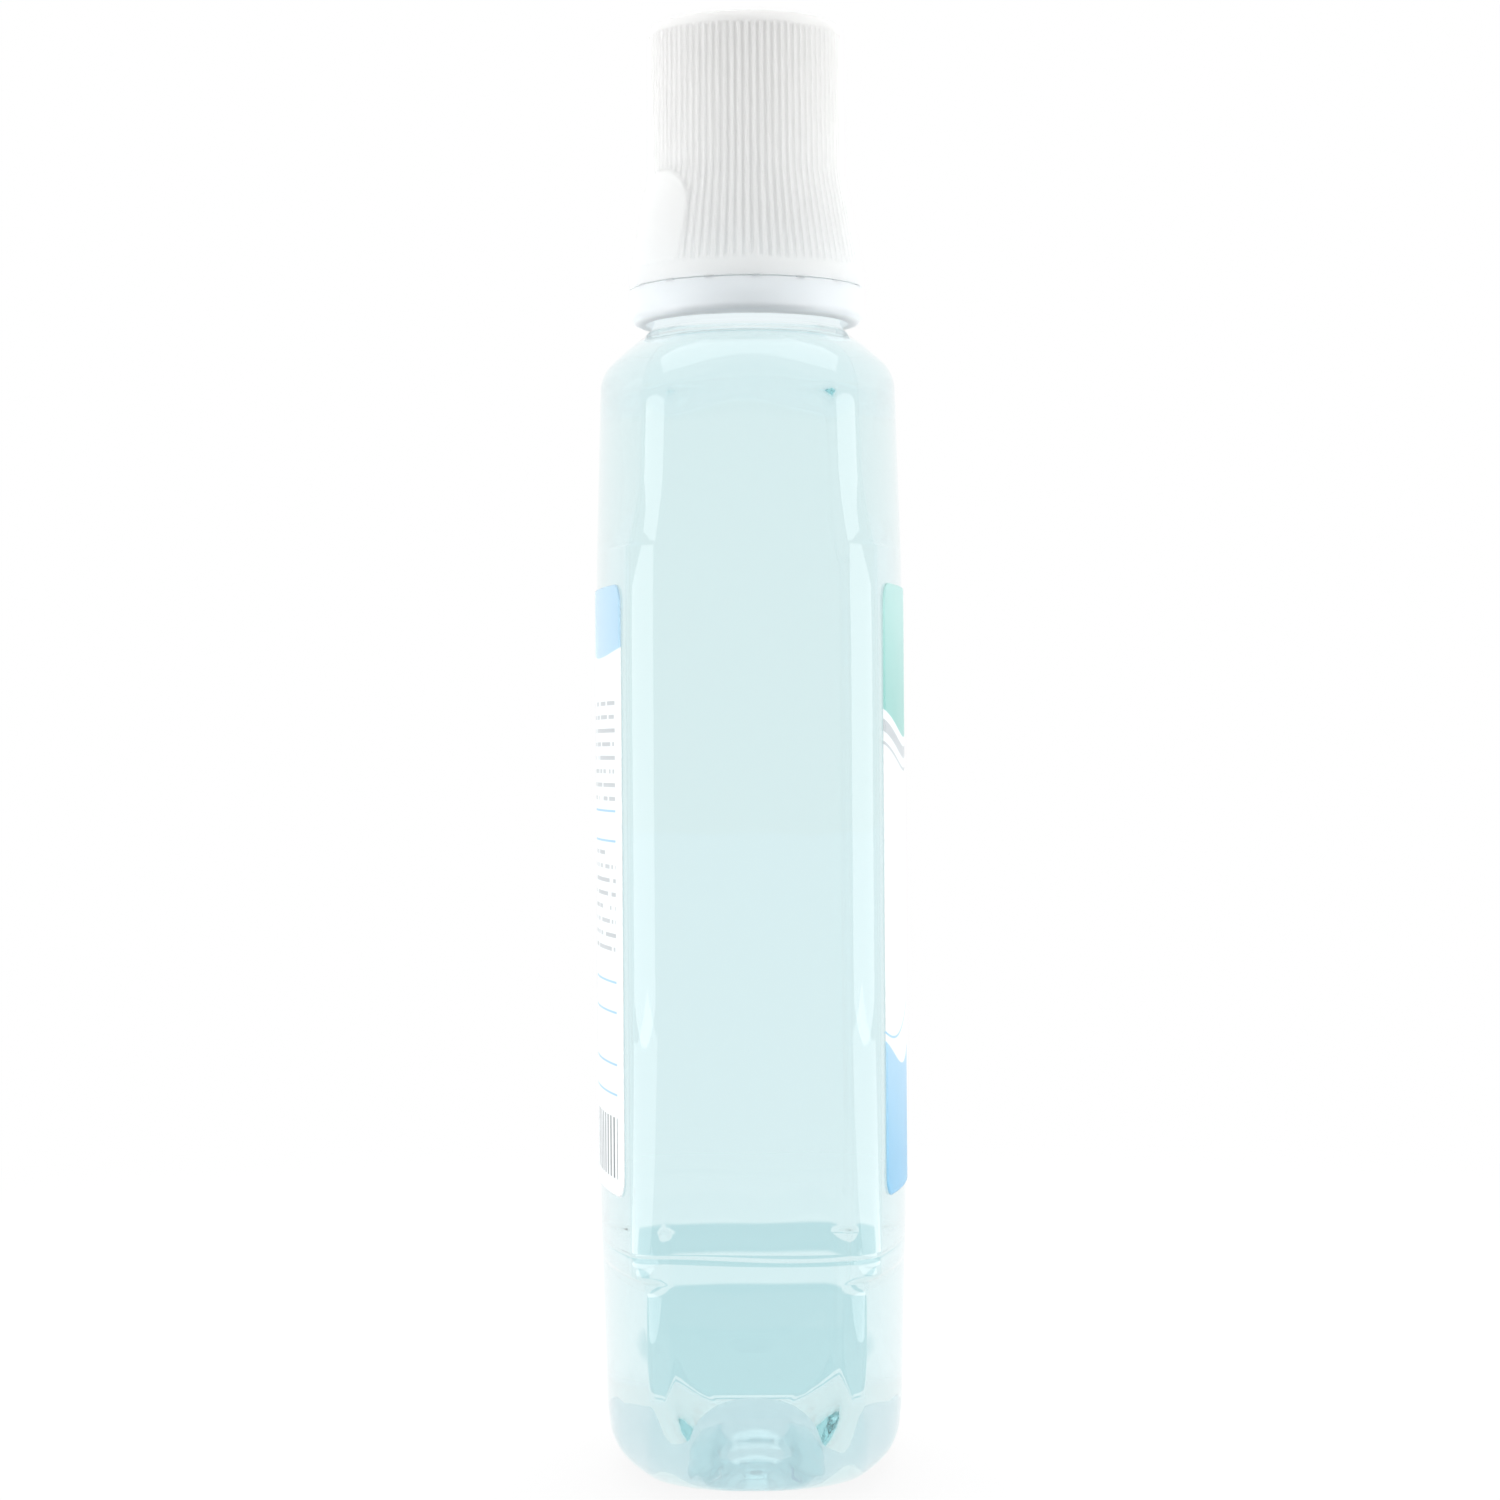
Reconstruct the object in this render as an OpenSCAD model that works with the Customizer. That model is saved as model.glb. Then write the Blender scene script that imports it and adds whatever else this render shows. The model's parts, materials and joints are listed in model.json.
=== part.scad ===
// Mouthwash bottle: a clear blown bottle full of pale blue rinse, with a ribbed squeeze-and-turn cap
// that holds a dosing cup, a loose seal ring, a tamper ring on the neck and two curved paper labels.
// Millimetres, +Z up. The origin is the middle of the standing ring, X runs across the wide faces,
// and the front label faces -Y.

/* [Body] */
// Width across the two narrow side panels
body_w = 73.8; // [70:0.2:80]
// Depth from front to back in the label zone, at the middle of the faces
body_d = 46.85; // [44:0.05:50]
// Depth at the foot of the body
foot_d = 44.6; // [43:0.1:46.4]
// Depth under the shoulder
upper_d = 45.1; // [43:0.1:46.4]
// Height of the body, up to the root of the neck
body_h = 171.9; // [160:0.1:185]
// Wall thickness of the blown body
wall = 0.7; // [0.5:0.05:0.9]
// Radius of the front and back faces in the label zone
panel_r = 112; // [100:1:130]
// Radius of the front and back faces above and below the label zone
outer_zone_r = 88; // [80:1:98]
// Radius of the upright corners in the label zone
corner_r = 5; // [3.5:0.1:6]
// Radius of the upright corners above and below the label zone
outer_corner_r = 4.4; // [3:0.1:5.5]

/* [Label zone] */
// Height of the step where the label zone starts
panel_z = 31.2; // [28:0.2:34]
// Height of the label zone
panel_h = 106.2; // [100:0.2:112]
// Height of the sharp lower step
step_h = 1.2; // [0.8:0.1:2]
// Height of the soft upper step
blend_h = 12; // [8:0.5:14]

/* [Shoulder] */
// Slope of the shoulder towards the narrow sides, in degrees from level
side_slope = 11; // [9:1:16]
// Slope of the shoulder towards the front and back, in degrees from level
face_slope = 43; // [36:1:48]
// Radius of the shoulder's edge over the narrow sides
side_edge_r = 10; // [8:0.1:12]
// Radius of the shoulder's edge over the front and back
face_edge_r = 5; // [3.5:0.1:6]

/* [Base] */
// Radius of the body's lower edge under the narrow sides
base_side_r = 9.6; // [8:0.1:10.4]
// Radius of the body's lower edge under the front and back
base_face_r = 7; // [6:0.1:9]
// How much higher the rounded lower edge starts under the narrow sides
base_lift = 5.3; // [3:0.1:6]
// Radius of the standing ring's corners
base_corner_r = 13.6; // [9:0.2:14]
// Width of the flat standing ring
ring_w = 2.2; // [1.5:0.1:3]
// Height of the push-up in the middle of the base
push_h = 9; // [6:0.2:12]

/* [Neck] */
// Outside radius of the neck below the finish
neck_r = 14.3; // [14:0.05:14.4]
// Wall of the neck below the finish
neck_wall = 1.7; // [1.4:0.05:2]
// Radius of the bore through the finish
bore_r = 10.9; // [10.5:0.05:11.2]
// Root radius of the finish, under the thread
finish_r = 12.7; // [12.5:0.05:12.9]
// Height of the finish above the tamper bead
finish_h = 11.2; // [10.6:0.1:12.4]
// Height of the neck between the root and the tamper bead
neck_h = 5.5; // [5.1:0.1:6]
// Radius of the small bead at the neck's foot
foot_bead_r = 14.7; // [14.5:0.05:15]
// Height of the small bead at the neck's foot
foot_bead_h = 1.1; // [0.8:0.1:1.3]
// Radius of the bead that keeps the tamper ring on
tamper_bead_r = 15.5; // [15.2:0.05:15.8]
// Height of that bead
tamper_bead_h = 1.4; // [1.2:0.1:1.6]
// Length of the lug that the cap's lug catches on, round the neck in degrees
lug_arc = 14; // [8:1:20]
// Height of that lug
lug_h = 1.8; // [1.2:0.1:1.9]

/* [Cap] */
// Height of the cap's shell from its lower edge to its top
cap_h = 40.2; // [39:0.1:42]
// Radius over the ribs where the flare starts
cap_r = 15; // [14.9:0.02:15.2]
// Radius over the ribs at the top
cap_top_r = 14.75; // [14.7:0.01:14.9]
// Radius of the smooth band at the lower edge
skirt_r = 17.9; // [17.7:0.05:18.3]
// Height of the upper part, from the top down to the flare
straight_h = 23.3; // [22:0.1:23.5]
// Height of the smooth band at the lower edge
band_h = 2.6; // [2:0.1:3.2]
// Height of the smooth rim above the ribs
rim_h = 1.7; // [1.3:0.1:2.2]
// Radius of the top edge
top_edge_r = 1; // [0.7:0.05:1]
// Number of grip ribs
ribs = 84; // [60:1:96]
// Height of a rib above the shell
rib_out = 0.2; // [0.14:0.02:0.26]
// Width of a rib, in degrees round the cap
rib_arc = 2.1; // [1.6:0.1:2.4]
// Wall of the shell, without the ribs
shell_wall = 0.85; // [0.8:0.01:0.9]
// Thickness of the shell's top
shell_top = 1.1; // [0.9:0.05:1.3]

/* [Squeeze pads] */
// Direction of the pads from +X, in degrees
pad_angle = 123; // [0:1:179]
// Width of a pad, whose upper end is half round
pad_w = 12.9; // [11:0.1:14]
// Height of a pad's upper end above the cap's lower edge
pad_h = 17.2; // [15:0.1:18]
// Height of a pad above the ribs at its upper end
pad_out = 0.5; // [0.3:0.05:0.6]
// Height of a pad above the smooth band at its foot
pad_foot_out = 0.05; // [0.03:0.01:0.1]

/* [Dosing cup] */
// Wall of the cup
cup_wall = 1; // [0.85:0.05:1.05]
// Thickness of the cup's closed end
cup_top = 1; // [0.8:0.05:1.2]
// Inside radius of the threaded skirt
thread_skirt_r = 14.1; // [14.05:0.01:14.15]
// Wall of the threaded skirt
thread_skirt_wall = 0.95; // [0.85:0.05:1.05]
// Height from the neck's rim down to the skirt's lower edge
thread_skirt_h = 9; // [8:0.1:9.2]
// Inside radius of the land that presses on the seal
land_r = 12.1; // [11.9:0.05:12.3]
// Height of that land
land_h = 1; // [0.8:0.05:1.2]

/* [Seal ring] */
// Thickness of the seal ring
seal_h = 1; // [0.8:0.05:1.2]
// Outside radius of the seal ring
seal_r = 13.3; // [13.2:0.05:13.4]
// Inside radius of the seal ring
seal_bore_r = 11.2; // [11:0.05:11.4]

/* [Tamper ring] */
// Height of the tamper ring
tamper_h = 5.2; // [4.8:0.05:5.4]
// Height of the ring's top above the foot of the bead that it hangs on
tamper_rise = 1; // [0.8:0.05:1.1]
// Wall of the tamper ring
tamper_wall = 1.1; // [0.9:0.05:1.3]
// Radius of the ring's rounded lower edge
tamper_edge_r = 1.6; // [1.2:0.1:1.8]
// Thickness of the flap that folds up inside the ring and catches under the bead
flap_t = 0.8; // [0.6:0.05:0.9]
// Height of the gap between the cap and the tamper ring
seam_h = 0.3; // [0.25:0.05:0.5]
// Number of thin bridges across that gap
bridges = 16; // [8:1:20]
// Width of a bridge
bridge_w = 1.5; // [1:0.1:2]
// Thickness of a bridge, inwards from the ring's face
bridge_t = 0.8; // [0.6:0.05:0.9]
// How far round the first bridge sits, as a share of the step between bridges
bridge_turn_share = 0.17; // [0:0.01:1]

/* [Labels] */
// Width of a label across the face
label_w = 63.4; // [58:0.2:64]
// Height of a label
label_h = 89.1; // [80:0.1:92]
// Height of a label's lower edge above the base
label_z = 43.1; // [42.6:0.1:44]
// Thickness of a label
label_t = 0.1; // [0.06:0.01:0.15]
// How far the straight part of the faces runs past a label
label_margin = 1.2; // [0.5:0.1:3]
// Radius of a label's corners
label_corner_r = 3; // [2:0.1:4]

/* [Rinse] */
// Height of the rinse above the base
fill_h = 169.4; // [140:0.2:170]

/* [Clearances] */
// Between turning round parts, on the radius
turn_gap = 0.06; // [0.04:0.01:0.08]
// Between neighbouring faces that only lie near each other
face_gap = 0.1; // [0.06:0.01:0.14]
// Between the neck and what hangs loose round it
loose_gap = 0.35; // [0.3:0.05:0.4]
// Between the bottle's wall and a label or the rinse
skin_gap = 0.06; // [0.04:0.01:0.1]

/* [Hidden] */
$fn = 96;

// How far a cutting shape runs past what it cuts
over = 1;
// Straight steps in a rounded edge of a turned profile
edge_steps = 6;

// Steps in a quarter of the body's outline: along a face, round a corner and down a side panel
face_steps = 7;
corner_steps = 5;
side_steps = 1;

// Steps up the body: in the rounded lower edge, in the soft upper step and in the shoulder, whose steps lie
// closer together towards the top by this share
foot_steps = 6;
blend_steps = 4;
shoulder_steps = 12;
shoulder_bend_share = 0.55;

// Heights up the body
taper_low_z = label_z - label_margin;
taper_high_z = label_z + label_h + label_margin;
panel_top_z = panel_z + panel_h;

// The root of the neck: the body closes to a ring a little wider than the neck
root_out = 1;
root_r = neck_r + root_out;
side_edge_rise = side_edge_r * cos(side_slope);
side_edge_in = side_edge_r * (1 - sin(side_slope));
side_rise = (body_w / 2 - side_edge_in - root_r) * tan(side_slope);
shoulder_z = body_h - side_rise - side_edge_rise;
blend_room_share = 0.9;
blend_top_z = min(panel_top_z + blend_h, mix(panel_top_z, shoulder_z, blend_room_share));
face_edge_rise = face_edge_r * cos(face_slope);
face_edge_in = face_edge_r * (1 - sin(face_slope));
face_rise = (upper_d / 2 - face_edge_in - root_r) * tan(face_slope);
face_edge_z = body_h - face_rise - face_edge_rise;

// Heights up the neck
bead_z = body_h + neck_h;
finish_z = bead_z + tamper_bead_h;
rim_z = bead_z + finish_h + tamper_bead_h;
lug_r = thread_skirt_r + thread_skirt_wall;

// Heights of the ring and the cap, which follow the neck's bead
ring_top_z = bead_z + tamper_rise;
ring_z = ring_top_z - tamper_h;
cap_z = ring_top_z + seam_h;
cap_top_z = cap_z + cap_h;
flare_z = cap_top_z - straight_h;
flare_start_share = 0.7;
flare_low_z = cap_z + band_h * flare_start_share;
land_z = rim_z + seal_h + face_gap;
cup_top_z = cap_top_z - shell_top - face_gap;
cup_r = cap_r - rib_out - shell_wall - turn_gap;
cup_in_r = cup_r - cup_wall;
skirt_low_z = rim_z - thread_skirt_h;

function mix(a, b, t) = a + (b - a) * t;
function clamp(x) = min(max(x, 0), 1);
function ease(x) = let (t = clamp(x)) t * t * (3 - 2 * t);

// Points along an arc, from angle a to angle b
function arc(cx, cy, r, a, b, steps) =
    [for (i = [0:steps]) let (t = mix(a, b, i / steps)) [cx + r * cos(t), cy + r * sin(t)]];

// A quarter of the body's outline from the front's middle to the side panel's middle: a broad arc across
// the face, a corner arc tangent to it and to the panel, and a straight panel
function panel_quarter(w, d, r, c) =
    let (rise = sqrt(pow(r - c, 2) - pow(w - c, 2)), lean = atan2(w - c, rise), y0 = d - r)
    concat(
        [for (i = [0:face_steps - 1]) let (a = lean * i / face_steps) [r * sin(a), y0 + r * cos(a)]],
        [for (i = [0:corner_steps]) let (a = mix(lean, 90, i / corner_steps))
            [w - c + c * sin(a), y0 + rise + c * cos(a)]],
        [for (i = [1:side_steps]) [w, (y0 + rise) * (1 - i / side_steps)]]);

// The same quarter drawn towards an ellipse, point by point at the same direction
function blend_quarter(w, d, r, c, round_share) =
    [for (p = panel_quarter(body_w / 2, body_d / 2, r, c))
        let (u = p[0] / (body_w / 2), v = p[1] / (body_d / 2), n = norm([u, v]))
        [w * mix(u, u / n, round_share), d * mix(v, v / n, round_share)]];

// A whole outline, counter-clockwise from the middle of the +Y face
function outline(q) =
    let (n = len(q) - 1)
    concat(
        [for (i = [0:n]) [-q[i][0], q[i][1]]],
        [for (i = [n - 1:-1:0]) [-q[i][0], -q[i][1]]],
        [for (i = [1:n]) [q[i][0], -q[i][1]]],
        [for (i = [n - 1:-1:1]) [q[i][0], q[i][1]]]);

// Half the depth at a height, below the shoulder
function half_d(z) =
    z < taper_low_z ? mix(foot_d, body_d, z / taper_low_z) / 2
    : z > taper_high_z ? mix(body_d, upper_d, (z - taper_high_z) / (face_edge_z - taper_high_z)) / 2
    : body_d / 2;

// Share of the label zone's outline at a height: 1 in the zone, 0 above and below it. The upper step starts
// on a crease and ends smoothly
function panel_share(z) =
    z < panel_z + step_h ? ease((z - panel_z) / step_h)
    : pow(clamp((blend_top_z - z) / (blend_top_z - panel_top_z)), 2);

// Half sizes over the shoulder: an edge arc, a straight slope, and the root ring
function over_edge(z, full, start_z, edge, slope) =
    let (up = z - start_z, turn = edge * cos(slope))
    up <= 0 ? full
    : up < turn ? full - edge + sqrt(edge * edge - up * up)
    : full - edge * (1 - sin(slope)) - (up - turn) / tan(slope);

// One level of the body, as its height and outline, drawn in by inset all round
function level(z, inset) =
    let (w = over_edge(z, body_w / 2 - inset, shoulder_z, side_edge_r - inset, side_slope),
        d = over_edge(z, half_d(min(z, face_edge_z)) - inset, face_edge_z, face_edge_r - inset, face_slope),
        zone = panel_share(z),
        r = mix(outer_zone_r, panel_r, zone),
        c = mix(outer_corner_r, corner_r, zone),
        round_share = ease((z - shoulder_z) / (body_h - shoulder_z)))
    z > shoulder_z ?
        [z, outline(blend_quarter(w, d, r, c, round_share))]
    : [z, outline(panel_quarter(w, d, r - inset, c - inset))];

// An outline near the base, where turn goes from 0 at the standing ring to 90 on the body's side, and
// the ring may be drawn further in. Corners grow rounder towards the ring
function base_outline(turn, ring_in, inset) =
    let (side_in = base_side_r + ring_in - (base_side_r - inset) * sin(turn),
        face_in = base_face_r + ring_in - (base_face_r - inset) * sin(turn),
        c = mix(base_corner_r - ring_in, outer_corner_r - inset, 1 - cos(turn)))
    panel_quarter(body_w / 2 - side_in, half_d(0) - face_in, outer_zone_r, c);

// One level of the rounded lower edge
function edge_level(turn, inset) =
    [base_face_r - (base_face_r - inset) * cos(turn), outline(base_outline(turn, 0, inset))];

// The push-up: outlines that shrink from the standing ring to the middle and rise to a full dome
push_shares = [0.97, 0.9, 0.79, 0.65, 0.48, 0.3];
push_curve = 2.2;
function push_level(s, inset) =
    [inset + push_h * (1 - pow(s, push_curve)), outline([for (p = base_outline(0, ring_w - inset, inset)) p * s])];

// The lower edge starts higher under the narrow sides: how far a point at x and z is raised, which grows
// between these shares of the half width, is full at the top of the rounded edge and ends at the label zone
lift_shares = [0.38, 0.81];
function lift(x, z) =
    let (out_share = abs(x) / (body_w / 2),
        side_share = (out_share - lift_shares[0]) / (lift_shares[1] - lift_shares[0]))
    base_lift * ease(side_share) * clamp(min(z / base_face_r, (panel_z - z) / (panel_z - base_face_r)));

// Levels that both the outer and the inner skin use above the rounded lower edge
function body_heights() = concat(
    [panel_z, panel_z + step_h / 2, panel_z + step_h],
    [taper_low_z, (taper_low_z + taper_high_z) / 2, taper_high_z],
    [for (i = [0:blend_steps]) mix(panel_top_z, blend_top_z, i / blend_steps)],
    [(blend_top_z + shoulder_z) / 2, shoulder_z]);
function shoulder_heights(top) = [for (i = [1:shoulder_steps]) let (t = i / shoulder_steps)
    mix(shoulder_z, top, mix(t, sin(90 * t), shoulder_bend_share))];

// The skin drawn in by inset, and its base lifted by the same amount, up to a top height
function skin(inset, top) =
    let (low = [for (h = concat(body_heights(), shoulder_heights(body_h))) if (h < top) h])
    concat(
        [for (i = [len(push_shares) - 1:-1:0]) push_level(push_shares[i], inset)],
        [push_level(1, inset)],
        [for (i = [0:foot_steps]) edge_level(90 * i / foot_steps, inset)],
        [for (h = low) level(h, inset)],
        [level(top, inset)]);

// Closes a stack of levels into a solid, with a flat top and a flat middle in the base
module loft(levels) {
    n = len(levels[0][1]);
    last = len(levels) - 1;
    points = [for (l = levels) for (p = l[1]) [p[0], p[1], l[0] + lift(p[0], l[0])]];
    sides = [for (k = [0:last - 1]) for (i = [0:n - 1])
        let (j = (i + 1) % n, a = k * n + i, b = k * n + j, c = a + n, e = b + n)
        each [[a, c, b], [b, c, e]]];
    base = [[for (i = [0:n - 1]) i]];
    top = [[for (i = [n - 1:-1:0]) last * n + i]];
    polyhedron(points = points, faces = concat(base, sides, top));
}

// A profile of radii and heights, turned about the upright axis
module turned(profile) {
    rotate_extrude() polygon(profile);
}

// A sector of a ring, seen from above, centred on the direction +X
module sector(r_in, r_out, angle, h) {
    half = angle / 2;
    points = concat(arc(0, 0, r_out, -half, half, edge_steps), arc(0, 0, r_in, half, -half, edge_steps));
    linear_extrude(h) polygon(points);
}

// The neck and its finish from outside, standing in the body's top
module neck_outside() {
    rim_edge_share = 0.3;
    bead_shares = [0.2, 0.5, 0.7];
    bead_face_share = 0.4;
    rim_edge = (finish_r - bore_r) * rim_edge_share;
    turned(concat(
        [[0, body_h - neck_h], [neck_r, body_h - neck_h], [neck_r, body_h + foot_bead_h * bead_shares[0]],
            [foot_bead_r, body_h + foot_bead_h * bead_shares[1]],
            [foot_bead_r, body_h + foot_bead_h * bead_shares[2]],
            [neck_r, body_h + foot_bead_h], [neck_r, bead_z], [tamper_bead_r, bead_z],
            [tamper_bead_r, bead_z + tamper_bead_h * bead_face_share], [finish_r, finish_z]],
        arc(finish_r - rim_edge, rim_z - rim_edge, rim_edge, 0, 90, edge_steps),
        [[0, rim_z]]));
}

// The bore through the finish, which opens out to the body's inside
module neck_bore() {
    wide_r = neck_r - neck_wall;
    turned([[0, body_h - neck_h], [wide_r, body_h - neck_h], [wide_r, bead_z - (wide_r - bore_r)],
        [bore_r, bead_z], [bore_r, rim_z + over], [0, rim_z + over]]);
}

module bottle() {
    inner_top = body_h - wall;
    lug_turn_share = 1.5;
    color("lightcyan") difference() {
        union() {
            loft(skin(0, body_h));
            neck_outside();
            for (side = [0, 180]) rotate(pad_angle + 90 + side - lug_arc * lug_turn_share)
                translate([0, 0, finish_z]) sector(finish_r - neck_wall / 2, lug_r - loose_gap, lug_arc, lug_h);
        }
        loft(skin(wall, inner_top));
        neck_bore();
    }
}

module mouthwash() {
    color("powderblue", 0.6) loft(skin(wall + skin_gap, fill_h));
}

// A label that curves with the face, drawn on the +Y face
module label() {
    w = label_w / 2 - label_corner_r;
    h = label_h / 2 - label_corner_r;
    outline_points = concat(
        arc(w, h, label_corner_r, 0, 90, edge_steps), arc(-w, h, label_corner_r, 90, 180, edge_steps),
        arc(-w, -h, label_corner_r, 180, 270, edge_steps), arc(w, -h, label_corner_r, 270, 360, edge_steps));
    intersection() {
        translate([0, body_d / 2 - panel_r, label_z]) difference() {
            cylinder(h = label_h, r = panel_r + skin_gap + label_t);
            translate([0, 0, -over]) cylinder(h = label_h + 2 * over, r = panel_r + skin_gap);
        }
        translate([0, body_d, label_z + label_h / 2]) rotate([90, 0, 0]) linear_extrude(body_d)
            polygon(outline_points);
    }
}

module front_label() { color("white") mirror([0, 1, 0]) label(); }
module back_label() { color("white") label(); }

module tamper_ring() {
    outer_r = skirt_r;
    inner_r = outer_r - tamper_wall;
    flap_r = neck_r + loose_gap;
    flap_top_z = bead_z - loose_gap;
    low_r = outer_r - tamper_edge_r;
    color("white") {
        turned(concat(
            [[low_r - flap_t, ring_z]],
            arc(low_r, ring_z + tamper_edge_r, tamper_edge_r, -90, 0, edge_steps),
            [[outer_r, ring_top_z], [inner_r, ring_top_z], [inner_r, ring_z + tamper_edge_r],
                [low_r, ring_z + flap_t], [flap_r + flap_t, flap_top_z], [flap_r, flap_top_z],
                [flap_r, flap_top_z - flap_t]]));
        for (i = [0:bridges - 1]) rotate(360 * (i + bridge_turn_share) / bridges)
            translate([outer_r - bridge_t - face_gap, -bridge_w / 2, ring_top_z - bridge_t])
                cube([bridge_t, bridge_w, bridge_t + seam_h - face_gap]);
    }
}

module seal_ring() {
    color("whitesmoke") translate([0, 0, rim_z + face_gap / 2]) difference() {
        cylinder(h = seal_h, r = seal_r);
        translate([0, 0, -over]) cylinder(h = seal_h + 2 * over, r = seal_bore_r);
    }
}

module dosing_cup() {
    cup_edge_share = 0.6;
    edge = cup_wall * cup_edge_share;
    chamber_r = seal_r + loose_gap / 2;
    chamber_low_z = rim_z - seal_h;
    thread_top_z = chamber_low_z - (thread_skirt_r - chamber_r);
    outer_low_r = thread_skirt_r + thread_skirt_wall;
    color("white") turned(concat(
        [[0, cup_top_z - cup_top], [cup_in_r - edge, cup_top_z - cup_top],
            [cup_in_r, cup_top_z - cup_top - edge],
            [cup_in_r, land_z + land_h + (cup_in_r - land_r)], [land_r, land_z + land_h], [land_r, land_z],
            [chamber_r, land_z], [chamber_r, chamber_low_z], [thread_skirt_r, thread_top_z],
            [thread_skirt_r, skirt_low_z], [outer_low_r, skirt_low_z], [outer_low_r, thread_top_z],
            [cup_r, land_z + land_h * 2]],
        arc(cup_r - edge, cup_top_z - edge, edge, 0, 90, edge_steps),
        [[0, cup_top_z]]));
}

// The shell's outline from the flare's foot to the middle of the top, drawn out by a height
function shell_face(out) =
    let (grow = out - rib_out)
    concat([[skirt_r + grow, flare_low_z], [cap_r + grow, flare_z]],
        arc(cap_top_r - top_edge_r + grow, cap_top_z - top_edge_r, top_edge_r, 0, 90, edge_steps));

// A squeeze pad, drawn on +X: an arch that stands above the ribs at its round end and sinks into the band
module squeeze_pad() {
    r = pad_w / 2;
    deep = rib_out + shell_wall / 2;
    arch_z = cap_z + pad_h - r;
    roof_z = flare_z + pad_w;
    intersection() {
        turned([[cap_r - deep, roof_z], [cap_r - deep, flare_z], [skirt_r - deep, flare_low_z],
            [skirt_r + pad_foot_out, flare_low_z], [cap_r + pad_out, flare_z], [cap_r + pad_out, roof_z]]);
        translate([0, 0, arch_z]) rotate([90, 0, 90]) linear_extrude(skirt_r + over)
            polygon(concat(arc(0, 0, r, 0, 180, 2 * edge_steps), [[-r, cap_z - arch_z], [r, cap_z - arch_z]]));
    }
}

// A star of thin fins, which the ribbed outline trims to ribs
module rib_star() {
    star_in = cap_r - rib_out - shell_wall / 2;
    star_out = skirt_r + over;
    half = rib_arc / 2;
    points = [for (i = [0:ribs - 1]) let (a = 360 * i / ribs)
        each [[star_in * cos(a - half), star_in * sin(a - half)],
            [star_out * cos(a - half), star_out * sin(a - half)],
            [star_out * cos(a + half), star_out * sin(a + half)],
            [star_in * cos(a + half), star_in * sin(a + half)]]];
    translate([0, 0, cap_z + band_h]) linear_extrude(cap_h - band_h - rim_h) polygon(points);
}

module cap_shell() {
    inner_r = cup_r + turn_gap;
    inner_low_r = skirt_r - rib_out - shell_wall;
    lug_in = lug_r + loose_gap / 2;
    color("white") difference() {
        union() {
            turned(concat([[0, cap_z], [skirt_r, cap_z], [skirt_r, cap_z + band_h]], shell_face(0),
                [[0, cap_top_z]]));
            turned(concat([[0, cap_top_z - rim_h], [cap_top_r, cap_top_z - rim_h]],
                arc(cap_top_r - top_edge_r, cap_top_z - top_edge_r, top_edge_r, 0, 90, edge_steps),
                [[0, cap_top_z]]));
            intersection() {
                turned(concat([[0, cap_z], [skirt_r, cap_z]], shell_face(rib_out), [[0, cap_top_z]]));
                rib_star();
            }
            for (side = [0, 180]) rotate(pad_angle + side) squeeze_pad();
        }
        difference() {
            turned([[0, cap_z - over], [inner_low_r, cap_z - over], [inner_low_r, flare_low_z],
                [inner_r, flare_z], [inner_r, cap_top_z - shell_top], [0, cap_top_z - shell_top]]);
            for (side = [0, 180]) rotate(pad_angle + 90 + side)
                translate([0, 0, cap_z]) sector(lug_in, skirt_r, lug_arc, lug_h);
        }
    }
}

bottle();
mouthwash();
front_label();
back_label();
tamper_ring();
seal_ring();
dosing_cup();
cap_shell();
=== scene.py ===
# %% [markdown]
# # A bottle of mouthwash
# This notebook dresses a clear bottle of pale blue rinse with a ribbed white cap. The frame holds the solids
# that move, in metres, with Z up. The bottle's wide faces look along -Y and +Y, and the picture was taken from
# -X, looking at a narrow side. Nothing here moves a solid: each surface below is made again, finer, on the same
# sizes, and then stands for its solid.

# %% Load the frame
import json
import math

import bpy
import numpy as np
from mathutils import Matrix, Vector

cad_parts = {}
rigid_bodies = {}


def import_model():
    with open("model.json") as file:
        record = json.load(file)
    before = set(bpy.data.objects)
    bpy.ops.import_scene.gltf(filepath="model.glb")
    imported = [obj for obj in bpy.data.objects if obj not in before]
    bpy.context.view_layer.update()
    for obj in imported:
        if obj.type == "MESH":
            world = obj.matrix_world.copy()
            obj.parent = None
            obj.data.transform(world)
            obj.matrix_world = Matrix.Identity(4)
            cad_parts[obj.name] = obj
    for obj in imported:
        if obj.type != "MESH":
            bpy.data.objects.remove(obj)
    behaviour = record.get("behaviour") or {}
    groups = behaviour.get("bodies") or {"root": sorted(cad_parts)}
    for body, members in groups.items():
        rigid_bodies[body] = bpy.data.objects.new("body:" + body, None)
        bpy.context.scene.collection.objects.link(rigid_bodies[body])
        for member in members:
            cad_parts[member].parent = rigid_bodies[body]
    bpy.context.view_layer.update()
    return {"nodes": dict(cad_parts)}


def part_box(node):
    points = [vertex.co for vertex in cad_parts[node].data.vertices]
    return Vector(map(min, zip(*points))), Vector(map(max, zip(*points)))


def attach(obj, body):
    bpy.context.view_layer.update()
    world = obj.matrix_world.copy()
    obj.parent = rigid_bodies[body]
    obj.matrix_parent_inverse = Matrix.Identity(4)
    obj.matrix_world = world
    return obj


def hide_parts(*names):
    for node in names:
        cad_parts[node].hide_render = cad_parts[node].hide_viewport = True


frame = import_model()
MM = 0.001
print("solids:", sorted(frame["nodes"]))


# %% [markdown]
# ## From a grid of points to a mesh
# Every piece here is one sheet: rows of points up a shape, columns round it. Such a sheet closes on itself
# round the columns, and its first and last rows close on a point, or on each other where the shape is a tube.
# Blender could turn a profile with a Screw modifier instead, but a worked-out grid also takes threads and ribs.

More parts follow.
